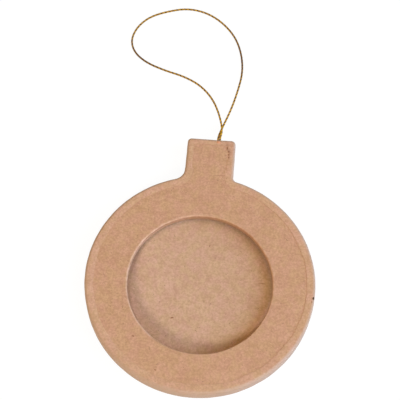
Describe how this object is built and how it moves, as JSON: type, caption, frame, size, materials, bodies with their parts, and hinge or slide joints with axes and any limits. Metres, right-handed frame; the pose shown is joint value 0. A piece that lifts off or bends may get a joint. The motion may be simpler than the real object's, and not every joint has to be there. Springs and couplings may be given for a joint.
{
  "type": "picture frame ornament",
  "caption": "Round hanging picture frame of brown board with a neck, a recessed round window and a loop of gold thread.",
  "frame": {"origin": "centre of the frame's bounding box in plan, on the surface that its back rests on; the thread loop is not counted", "axes": "+Z out of the front face, +Y from the round body to the neck, +X to the right seen from the front"},
  "size_m": [0.095, 0.1829, 0.0075],
  "materials": {
    "kraft_face": "matt brown board with fine fibres",
    "board_core": "raw die-cut board",
    "kraft_wrap": "thin brown paper, glued on and burnished",
    "gold_thread": "twisted metallic gold thread with dark plies"
  },
  "bodies": {
    "root": {"front_board": "kraft_face", "spacer_board": "board_core", "back_board": "kraft_face", "rim_wrap": "kraft_wrap", "neck_wrap": "kraft_wrap", "hanging_cord": "gold_thread", "cord_knot": "gold_thread"}
  },
  "joints": []
}
